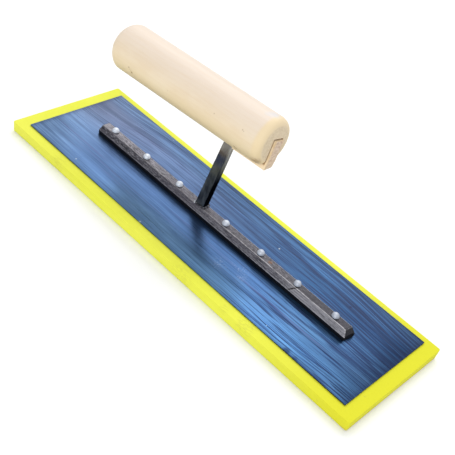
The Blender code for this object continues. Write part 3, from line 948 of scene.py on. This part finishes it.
def wood_material():
    """Pale close-grained wood. x runs along the grip and z is out through its top."""
    s = Shade("grip_wood", frame=GRIP)
    s.set("Specular IOR Level", 0.35)
    s.set("Coat Weight", 0.12)
    s.set("Coat Roughness", 0.35)
    toe_x = GRIP_TOE / MM
    turned_x = TOE_TURNED / MM
    barrel_x = BARREL_HEEL / MM
    slot_z = SLOT_TOP / MM
    slot_low_y = (SLOT_SHIFT - SLOT_NEAR_HALF) / MM
    slot_high_y = (SLOT_SHIFT + SLOT_FAR_HALF) / MM
    radius = GRIP_RADIUS / MM
    warp = s.noise((70.0, 16.0, 16.0), 2.0)
    # faint growth rings round a heart that lies below and beside the grip
    heart = s.combine(s.times(s.x, 0.05), s.plus(s.y, 26.0), s.plus(s.z, 34.0))
    rings = s.plus(s.vector("LENGTH", heart), s.times(warp, 9.0))
    ring = s.rise(s.math("SINE", s.times(rings, 2 * math.pi / WOOD_RING_WIDTH)), -0.4, 1.0)
    fibre = s.noise((24.0, 0.8, 0.8), 4.0, 0.6)
    fleck = s.noise((4.2, 0.42, 0.42), 2.0, offset=(0.0, 3.0, 1.0))
    cloud = s.noise((30.0, 13.0, 13.0), 3.0, offset=(5.0, 0.0, 0.0))
    s.colour = s.mix(s.rise(cloud, 0.34, 0.68), WOOD_PALE, WOOD_CREAM)
    # painted light: the top is painted paler where the light falls, and the underside darker and
    # yellower as painted shade with the sole's yellow bounce
    s.paint(WOOD_TOP_LIGHT, s.rise(s.z, -4.0, 17.0))
    s.paint(WOOD_UNDER_SHADE, s.fall(s.z, -17.0, 2.0))
    s.paint(WOOD_RING, ring, 0.07)
    s.paint(WOOD_RING, s.rise(fibre, 0.48, 0.74, 0.16))
    s.paint(WOOD_FLECK, s.rise(fleck, 0.66, 0.76, 0.16))
    # the turned toe rounding is yellower, and fades into the greyer end grain
    around = s.vector("LENGTH", s.combine(0.0, s.y, s.z))
    s.paint(WOOD_TURNED, s.rise(s.x, turned_x - 1.0, turned_x + 2.0, 0.85))
    end = s.times(s.rise(s.x, toe_x - 2.2, toe_x - 0.2), s.fall(around, 12.4, 14.6))
    ends = s.noise((1.0, 1.6, 1.6), 4.0, 0.7)
    s.paint(s.mix(s.rise(ends, 0.36, 0.66), WOOD_END, WOOD_END_DEEP), end)
    s.paint(WOOD_KNOT, s.spot(WOOD_SMUDGE, 3.4, 0.8), s.span(fibre, 0.4, 0.6, 0.35, 0.8))
    # painted shade inside the slot
    across = s.band(s.y, slot_low_y - 0.2, slot_high_y + 0.2, 0.2)
    below = s.fall(s.z, slot_z, slot_z + 0.4)
    sunk = s.times(s.fall(around, radius - 3.4, radius - 1.2), across, below)
    inner = s.times(sunk, s.fall(s.x, toe_x - 0.5, toe_x - 0.15))
    s.paint(WOOD_SLOT_SHADE, inner, s.rise(s.x, barrel_x, barrel_x + 3.0))
    for x, y, z, size, strength in WOOD_KNOTS:
        s.paint(WOOD_KNOT, s.spot((x, y, z), size, 0.7), strength)
    for x, y, z, size, strength in WOOD_PATCHES:
        worn = s.span(fibre, 0.35, 0.6, 0.4, 1.0)
        s.paint(WOOD_FILLER, s.spot((x, y, z), size, 0.6), worn, strength)
    s.set("Roughness", s.plus(s.span(fibre, 0.3, 0.7, 0.42, 0.56), s.times(end, 0.25)))
    s.bump((fibre, 0.03), (ring, 0.01), (ends, 0.03))
    return s.painted()


def strip_material():
    s = Shade("strip_wood", frame=GRIP)
    s.set("Specular IOR Level", 0.3)
    fibre = s.noise((16.0, 0.5, 0.7), 4.0, 0.6)
    cloud = s.noise((14.0, 5.0, 5.0), 2.0, offset=(1.0, 0.0, 0.0))
    s.colour = s.mix(s.rise(cloud, 0.35, 0.66), STRIP_LIGHT, STRIP_CREAM)
    s.paint(STRIP_FIBRE, s.rise(fibre, 0.48, 0.7, 0.5))
    # end grain: pinkish grey, in rough bands up its height
    toe_x = STRIP_TOE / MM
    end = s.rise(s.x, toe_x - 0.45, toe_x - 0.1)
    bands = s.noise((1.0, 3.2, 1.5), 4.0, 0.65)
    pits = s.noise((0.6, 0.6, 0.6), 3.0, 0.7, offset=(4.0, 0.0, 0.0))
    grain = s.ramp(s.rise(bands, 0.32, 0.7), STRIP_END_TONES)
    grain = s.mix(s.rise(pits, 0.54, 0.68, 0.45), grain, STRIP_PIT)
    worn = s.rise(s.apart(s.y, STRIP_MIDDLE / MM), 3.2, 4.7, 0.7)
    s.paint(s.mix(worn, grain, STRIP_EDGE), end)
    # painted shade: the strip is painted dark where it sits in the slot's gap
    near_y = (STRIP_MIDDLE - STRIP_HALF) / MM
    mouth_x = GRIP_TOE / MM
    mouth_z = -GRIP_RADIUS / MM
    near = s.fall(s.y, near_y + 0.25, near_y + 0.6)
    sunk = s.fall(s.x, mouth_x - 0.45, mouth_x + 0.05)
    s.paint(WOOD_SLOT_SHADE, near, sunk, s.rise(s.z, mouth_z + 0.6, mouth_z + 2.4, 0.9))
    s.set("Roughness", s.span(bands, 0.3, 0.7, 0.55, 0.72))
    s.bump((fibre, 0.06), (s.times(bands, end), 0.35), (s.times(pits, end), 0.15))
    return s.painted()


def floor_material():
    s = Shade("pale_floor")
    s.set("Roughness", 0.75)
    s.set("Specular IOR Level", 0.1)
    cloud = s.noise((240.0, 240.0, 240.0), 2.0)
    s.colour = s.mix(s.rise(cloud, 0.3, 0.7), FLOOR_TONE, FLOOR_TONE_LOW)
    return s.painted()


# ======== pieces
def rivet_places():
    boxes = [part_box(node) for node in RIVET_NODES]
    return [(low + high) / 2 for low, high in boxes]


def pad_rings():
    """Inset and height of each ring of the sole, from the middle of its underside to the top."""
    rings = [(inset, 0.0) for inset in PAD_UNDER_RINGS]
    for turn in quarter_turns(PAD_LOW_TURNS):
        rings.append((PAD_EDGE_LOW * (1 - math.sin(turn)), PAD_EDGE_LOW * (1 - math.cos(turn))))
    wall = PAD_HIGH.z - PAD_EDGE_HIGH - PAD_EDGE_LOW
    for row in range(1, PAD_WALL_ROWS):
        rings.append((0.0, PAD_EDGE_LOW + wall * row / PAD_WALL_ROWS))
    for turn in quarter_turns(PAD_HIGH_TURNS):
        z = PAD_HIGH.z - PAD_EDGE_HIGH * (1 - math.sin(turn))
        rings.append((PAD_EDGE_HIGH * (1 - math.cos(turn)), z))
    return rings + [(inset, PAD_HIGH.z) for inset in PAD_TOP_RINGS]


def build_pad(look):
    """Sole with cut foam edges: a little wavy in plan, rounded below, softly broken above."""
    low = (PAD_LOW.x + PAD_WAVE, PAD_LOW.y + PAD_WAVE)
    high = (PAD_HIGH.x - PAD_WAVE, PAD_HIGH.y - PAD_WAVE)
    sections = []
    for inset, z in pad_rings():
        under = 1 - z / PAD_HIGH.z
        heel = low[0] + PAD_HEEL_UNDERCUT * under + inset
        far = high[1] - PAD_FAR_UNDERCUT * under - inset
        corner = max(PAD_CORNER - inset, PAD_LEAST_CORNER)
        fade = max(0.0, 1 - inset / PAD_WAVE_DEPTH)
        section = []
        for p in rounded_plan((heel, low[1] + inset), (high[0] - inset, far), corner, PAD_PARTS):
            wave = 0.0
            for share, size, stretch, seed in PAD_WAVES:
                wave += share * rough((p.x, p.y, z * stretch), size, seed)
            # each side moves square to itself, and the corners hardly at all
            out_x = math.copysign(abs(p.x / PAD_HIGH.x) ** PAD_SIDE_POWER, p.x)
            out_y = math.copysign(abs(p.y / PAD_HIGH.y) ** PAD_SIDE_POWER, p.y)
            shift = PAD_WAVE * wave * fade
            section.append((p.x + out_x * shift, p.y + out_y * shift, z))
        sections.append(section)
    pad = make_piece("foam_sole", loft(sections), smooth=PAD_SMOOTH, look=look)
    radius = RIVET_FOOT_RADIUS + POCKET_MARGIN
    floor = FOOT_BOTTOM - POCKET_MARGIN
    cut_away(pad, foot_cutters(radius, TENON_HEAD_SIZE, floor, PAD_HIGH.z + MM), PAD_SMOOTH)
    return pad


def build_plate(look):
    edge = [(PLATE_EDGE * inset, PLATE_EDGE * rise) for inset, rise in PLATE_EDGE_STEPS]
    levels = [(inset, PLATE_LOW.z + rise) for inset, rise in edge]
    levels += [(inset, PLATE_HIGH.z - rise) for inset, rise in reversed(edge)]
    rings = []
    for inset, z in levels:
        low = (PLATE_LOW.x + inset, PLATE_LOW.y + inset)
        high = (PLATE_HIGH.x - inset, PLATE_HIGH.y - inset)
        plan = rounded_plan(low, high, PLATE_CORNER - inset, PLATE_PARTS)
        rings.append([(p.x, p.y, z) for p in plan])
    plate = make_piece("steel_blade", loft(rings), smooth=PLATE_SMOOTH, look=look)
    cutters = foot_cutters(RIVET_HOLE_RADIUS, TENON_SIZE, PLATE_LOW.z - MM, PLATE_HIGH.z + MM)
    cut_away(plate, cutters, PLATE_SMOOTH)
    return plate


def lap_depth(x, y, z):
    """A shallow lap in the steel that runs down the near bevel beside one rivet."""
    line = LAP_X - (z - SPINE_SHOULDER) * LAP_LEAN + LAP_SWAY * math.sin(z / LAP_SWAY_HEIGHT)
    near = unit((CENTRE_Y - LAP_START - y) / MM)
    return LAP_DEPTH * near * math.exp(-(((x - line) / LAP_WIDTH) ** 2))


def build_spine(look):
    low, high = SPINE_LOW.z, SPINE_HIGH.z
    corners = (
        (-SPINE_HALF, low),
        (SPINE_HALF, low),
        (SPINE_HALF, SPINE_SHOULDER),
        (SPINE_RIDGE, high),
        (-SPINE_RIDGE, high),
        (-SPINE_HALF, SPINE_SHOULDER),
    )
    profile = divided(filleted(corners, SPINE_CORNERS, 3), SPINE_SPACING)
    length = SPINE_HIGH.x - SPINE_LOW.x
    steps = round(length / SPINE_STEP)
    toe_end = SPINE_HIGH.x - SPINE_TOE_SKEW
    centre = Vector((0.0, (low + high) / 2))
    sections = []
    for step in range(steps + 1):
        t = step / steps
        # the end arrises are broken a little
        nearness = [math.exp(-away * length / SPINE_EASE_REACH) for away in (t, 1 - t)]
        section = []
        for y, z in profile:
            rise = max(0.0, (z - SPINE_SHOULDER) / (high - SPINE_SHOULDER))
            heel = SPINE_LOW.x + rise * SPINE_HEEL_RAKE
            toe = toe_end - rise * SPINE_TOE_RAKE + SPINE_TOE_SKEW * y / SPINE_HALF
            x = heel + (toe - heel) * t
            wave = -SPINE_WAVE_TOP
            for share, stretch, size, seed in SPINE_WAVES:
                wave += share * rough((x * stretch, y, z), size, seed)
            shift = 0.0 if z < low + SPINE_FLAT else SPINE_ROUGHNESS * wave
            shift -= SPINE_EASE * sum(nearness) + lap_depth(x, y + CENTRE_Y, z)
            out = (Vector((y, z)) - centre).normalized()
            section.append((x, CENTRE_Y + y + out.x * shift, z + out.y * shift))
        sections.append(section)
    spine = make_piece("spine_bar", loft(sections), smooth=SPINE_SMOOTH, look=look)
    cut_away(spine, foot_cutters(RIVET_HOLE_RADIUS, TENON_SIZE, low - MM, high + MM), SPINE_SMOOTH)
    return spine


def build_rivet(name, place, top, seed, look):
    """Domed rivet with a slightly uneven set head, its shank and its flat foot."""
    dome = top - RIVET_BASE - RIVET_LIP
    profile = [
        (RIVET_FOOT_RADIUS * RIVET_FOOT_FACE, FOOT_BOTTOM),
        (RIVET_FOOT_RADIUS, FOOT_BOTTOM + RIVET_FOOT_EASE),
        (RIVET_FOOT_RADIUS, FOOT_TOP - RIVET_FOOT_EASE),
        (RIVET_FOOT_RADIUS * RIVET_FOOT_FACE, FOOT_TOP),
        (RIVET_SHANK_RADIUS, FOOT_TOP),
        (RIVET_SHANK_RADIUS, RIVET_BASE),
        (RIVET_HEAD_RADIUS * RIVET_HEAD_FACE, RIVET_BASE),
    ]
    for turn in quarter_turns(RIVET_LEVELS)[:-1]:
        radius = RIVET_HEAD_RADIUS * math.cos(turn) ** 0.92
        profile.append((radius, RIVET_BASE + RIVET_LIP + dome * math.sin(turn) ** 0.96))
    sections = []
    for radius, z in profile:
        lift = unit((z - RIVET_BASE) / RIVET_UNEVEN_FROM)
        section = []
        for x, y, _ in circle(radius, z, place.x, place.y, RIVET_SIDES):
            dent = RIVET_DENT * lift * rough((x, y, z), 1.7 * MM, seed)
            slope = RIVET_SLOPE * lift * rough((x, y, 0.0), 5.0 * MM, seed + 40)
            scale = 1 - max(0.0, dent + RIVET_DENT / 2) / RIVET_HEAD_RADIUS
            x = place.x + (x - place.x) * scale
            y = place.y + (y - place.y) * scale
            section.append((x, y, min(z + min(0.0, slope), top)))
        sections.append(section)
    return make_piece(name, loft(sections), look=look)


def bar_loop(centre, along, across, depth, width):
    """Rounded rectangle square to a bar: depth along one direction, width across the other."""
    half_d, half_w = depth / 2, width / 2
    corners = ((half_d, -half_w), (half_d, half_w), (-half_d, half_w), (-half_d, -half_w))
    outline = filleted(corners, [TANG_CORNER] * 4, 3)
    points = []
    for i, (here, there) in enumerate(zip(outline, outline[1:] + outline[:1])):
        parts = TANG_CORNER_PARTS if i % 4 == 3 else 1
        points += [here.lerp(there, k / parts) for k in range(parts)]
    return [centre + along * p.x + across * p.y for p in points]


def between(first, second, t):
    return [a * (1 - t) + b * t for a, b in zip(first, second)]


def tang_stations():
    """Centre, direction of the depth, direction of the width, sizes, and rows to the next."""
    foot = ((FOOT_BOTTOM, TENON_HEAD_SIZE), (FOOT_TOP, TENON_HEAD_SIZE), (FOOT_TOP, TENON_SIZE))
    stations = []
    for z, size in (*foot, (TANG_FOOT.z, TENON_SIZE)):
        stations.append((Vector((TANG_FOOT.x, TANG_FOOT.y, z)), ALONG, ACROSS, size, 1))
    stations.append((TANG_FOOT, ALONG, ACROSS, TANG_FOOT_SIZE, TANG_SHANK_ROWS))
    turn = GRIP.to_3x3()
    neck = GRIP @ TANG_NECK
    across = (turn @ ACROSS).normalized()
    depth = across.cross((neck - TANG_FOOT).normalized()).normalized()
    stations.append((neck, depth, across, TANG_NECK_SIZE, TANG_NECK_ROWS))
    start = TANG_ELBOW - (TANG_ELBOW - TANG_NECK).normalized() * TANG_BEND
    finish = TANG_ELBOW - ALONG * TANG_BEND
    for step in range(TANG_BEND_STEPS + 1):
        t = step / TANG_BEND_STEPS
        point = GRIP @ curve(start, TANG_ELBOW, finish, t)
        heading = ((TANG_ELBOW - start) * (1 - t) + (finish - TANG_ELBOW) * t).normalized()
        rows = TANG_LEG_ROWS if step == TANG_BEND_STEPS else 1
        size = between(TANG_NECK_SIZE, TANG_LEG_SIZE, t)
        stations.append((point, turn @ ACROSS.cross(heading).normalized(), across, size, rows))
    end = GRIP @ Vector((TANG_LEG_END, SLOT_SHIFT, BORE_DROP))
    size = [value * TANG_LEG_TAPER for value in TANG_LEG_SIZE]
    stations.append((end, turn @ ACROSS.cross(-ALONG).normalized(), across, size, 1))
    return stations


def hammered(p, centre):
    """Hammer marks are always inwards, so the bar keeps its outer size."""
    depth = 0.55 + rough(p, 3.4 * MM, 2.0) + 0.5 * rough(p, 1.1 * MM, 6.0)
    return p + (centre - p).normalized() * TANG_HAMMER * max(0.0, depth)


def build_tang(look):
    stations = tang_stations()
    sections = []
    for here, there in zip(stations, stations[1:] + stations[-1:]):
        for row in range(here[4]):
            t = row / here[4]
            centre = here[0].lerp(there[0], t)
            along = here[1].lerp(there[1], t).normalized()
            across = here[2].lerp(there[2], t).normalized()
            loop = bar_loop(centre, along, across, *between(here[3], there[3], t))
            if centre.z > TANG_FOOT.z:
                loop = [hammered(p, centre) for p in loop]
            sections.append(loop)
    return make_piece("tang_bar", loft(sections), smooth=TANG_SMOOTH, look=look)


def build_weld(look):
    """Uneven bead round the tang's foot."""
    middle = (COLLAR_LOW + COLLAR_HIGH) / 2
    half = (COLLAR_HIGH - COLLAR_LOW) / 2
    sections = []
    for inset, rise, corner in WELD_LEVELS:
        gap = inset * WELD_MARGIN
        low = (middle.x - half.x + gap, middle.y - half.y + gap)
        high = (middle.x + half.x - gap, middle.y + half.y - gap)
        loop = []
        for p in rounded_plan(low, high, corner * MM, WELD_PARTS):
            lump = WELD_LUMP * max(0.0, 0.4 + rough((p.x, p.y, 0.0), 1.5 * MM, 11.0))
            lump *= 1 - inset
            shrink = 1 - lump / half.x
            x = middle.x + (p.x - middle.x) * shrink
            y = middle.y + (p.y - middle.y) * shrink
            loop.append((x, y, COLLAR_LOW.z + rise * (2 * half.z - WELD_LUMP_DROP * lump)))
        sections.append(loop)
    bead = loft(sections, looped=True)
    return make_piece("tang_weld", bead, smooth=WELD_SMOOTH, look=look)


def grip_profile():
    """Radius against distance along the grip: domed heel, barrel, rounded toe, flat end."""
    profile = []
    power = 2 / GRIP_DOME_POWER
    for turn in quarter_turns(GRIP_DOME_TURNS)[1:]:
        u = GRIP_HEEL + GRIP_DOME * (1 - math.cos(turn) ** power)
        profile.append((u, GRIP_RADIUS * math.sin(turn) ** power))
    for row in range(1, GRIP_ROWS):
        u = BARREL_HEEL + (TOE_TURNED - BARREL_HEEL) * row / GRIP_ROWS
        profile.append((u, GRIP_RADIUS))
    for turn in quarter_turns(GRIP_TOE_TURNS):
        u = TOE_TURNED + GRIP_TOE_ROUND * math.sin(turn)
        profile.append((u, GRIP_RADIUS - GRIP_TOE_SHRINK * (1 - math.cos(turn) ** 0.9)))
    return profile + [(GRIP_TOE, radius) for radius in GRIP_END_RADII]


def build_grip(look):
    sections = []
    for u, radius in grip_profile():
        section = []
        for y, z, _ in circle(1.0, 0.0, 0.0, 0.0, GRIP_SIDES):
            # sanding leaves the barrel very slightly uneven, and the toe rounding more so
            wave = rough((u * 0.35, y * GRIP_RADIUS, z * GRIP_RADIUS), 13 * MM, 4.0)
            toe = unit((u - TOE_TURNED + 2 * MM) / (4 * MM)) * (u < GRIP_TOE)
            uneven = GRIP_UNEVEN * (1 + GRIP_TOE_UNEVEN * toe)
            size = radius - uneven * max(0.0, 0.5 + wave) * min(1.0, radius / (8 * MM))
            section.append((u, y * size, z * size))
        sections.append(section)
    grip = make_piece("wood_grip", loft(sections), GRIP, GRIP_SMOOTH, look)
    open_z = -GRIP_RADIUS - 2 * MM
    corners = (
        (-SLOT_NEAR_HALF, open_z),
        (SLOT_FAR_HALF, open_z),
        (SLOT_FAR_HALF, SLOT_TOP),
        (-SLOT_NEAR_HALF, SLOT_TOP),
    )
    outline = filleted(corners, SLOT_CORNERS, 4)
    ends = [[(u, p.x + SLOT_SHIFT, p.y) for p in outline] for u in (SLOT_HEEL, GRIP_TOE + 2 * MM)]
    slot = make_piece("slot_cutter", loft(ends), GRIP)
    ring = circle(BORE_RADIUS, 0.0, SLOT_SHIFT, BORE_DROP, HOLE_SIDES)
    ends = [[(u, y, z) for y, z, _ in ring] for u in (BORE_HEEL, BORE_TOE)]
    bore = make_piece("bore_cutter", loft(ends), GRIP)
    cut_away(grip, [slot, bore], GRIP_SMOOTH)
    return grip


def build_strip(look):
    corners = (
        (STRIP_HALF, STRIP_HIGH),
        (-STRIP_HALF, STRIP_HIGH),
        (-STRIP_HALF, STRIP_LOW),
        (STRIP_HALF - STRIP_TAPER, STRIP_LOW + STRIP_FAR_RISE),
        (STRIP_HALF, STRIP_LOW + STRIP_TAPER_HEIGHT),
    )
    outline = divided(filleted(corners, STRIP_CORNERS, 3), 1.0 * MM)
    length = STRIP_TOE - 1.0 * MM - STRIP_HEEL
    rings = [(STRIP_HEEL + length * k / STRIP_ROWS, 0.0) for k in range(STRIP_ROWS + 1)]
    rings += [(STRIP_TOE - back, inset) for back, inset in STRIP_TOE_RINGS]
    middle = Vector((0.0, (STRIP_HIGH + STRIP_LOW) / 2))
    sections = []
    for u, inset in rings:
        section = []
        for p in outline:
            wave = STRIP_UNEVEN * max(0.0, 0.5 + rough((u * 0.3, p.x, p.y), 3.0 * MM, 9.0))
            q = p + (middle - p).normalized() * (inset + wave)
            # the sawn toe face isn't quite square
            slant = min(0.0, STRIP_SLANT * (p.y - STRIP_HIGH)) * (u > STRIP_TOE - 0.6 * MM)
            section.append((u + slant, q.x + STRIP_MIDDLE, q.y))
        sections.append(section)
    return make_piece("grip_filler_strip", loft(sections), GRIP, GRIP_SMOOTH, look)


# ======== stage
def build_floor(look):
    bm = bmesh.new()
    bmesh.ops.create_grid(
        bm, x_segments=FLOOR_SQUARES, y_segments=FLOOR_SQUARES, size=FLOOR_SIZE / 2
    )
    floor = make_piece("studio_floor", bm, Matrix.Translation((0, 0, -FLOOR_DROP)), look=look)


def build_softbox(name, direction, distance, size, watts):
    light = bpy.data.lights.new(name, "AREA")
    light.shape = "SQUARE"
    light.size = size
    light.energy = watts
    obj = bpy.data.objects.new(name, light)
    PIECES.objects.link(obj)
    obj.location = LIT_POINT + direction * distance
    obj.rotation_euler = (LIT_POINT - obj.location).to_track_quat("-Z", "Y").to_euler()


def build_sky():
    world = bpy.data.worlds.new("studio")
    bpy.context.scene.world = world
    world.use_nodes = True
    sky = world.node_tree.nodes["Background"]
    sky.inputs["Color"].default_value = (*SKY_COLOUR, 1.0)
    sky.inputs["Strength"].default_value = SKY_STRENGTH


def build_camera():
    data = bpy.data.cameras.new("photo_view")
    data.lens = CAMERA_LENS
    data.sensor_width = 36.0
    data.clip_start = 0.01
    data.clip_end = 50.0
    camera = bpy.data.objects.new("photo_view", data)
    PIECES.objects.link(camera)
    turn = (
        Matrix.Rotation(CAMERA_AZIMUTH, 4, "Z")
        @ Matrix.Rotation(math.pi / 2 - CAMERA_ELEVATION, 4, "X")
        @ Matrix.Rotation(CAMERA_ROLL, 4, "Z")
    )
    camera.matrix_world = Matrix.Translation(CAMERA_PLACE) @ turn
    bpy.context.scene.camera = camera


def main():
    build_camera()
    pad = build_pad(foam_material())
    hold(pad, "pad")
    hold(build_plate(blade_material()), "plate")
    hold(build_spine(spine_material()), "spine")
    bright = rivet_material()
    for i, (node, place) in enumerate(zip(RIVET_NODES, rivet_places())):
        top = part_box(node)[1].z
        seed = RIVET_SEED + RIVET_SEED_STEP * i
        hold(build_rivet(f"{node}_set", place, top, seed, bright), node)
    hold(build_tang(tang_material()), "tang")
    hold(build_weld(weld_material()), "tang_collar")
    hold(build_grip(wood_material()), "handle")
    hold(build_strip(strip_material()), "filler_strip")
    build_floor(floor_material())
    build_sky()
    build_softbox("key_softbox", KEY_DIRECTION, KEY_DISTANCE, KEY_SIZE, KEY_WATTS)
    build_softbox("fill_softbox", FILL_DIRECTION, FILL_DISTANCE, FILL_SIZE, FILL_WATTS)
    bpy.context.scene.view_settings.view_transform = "Standard"


main()
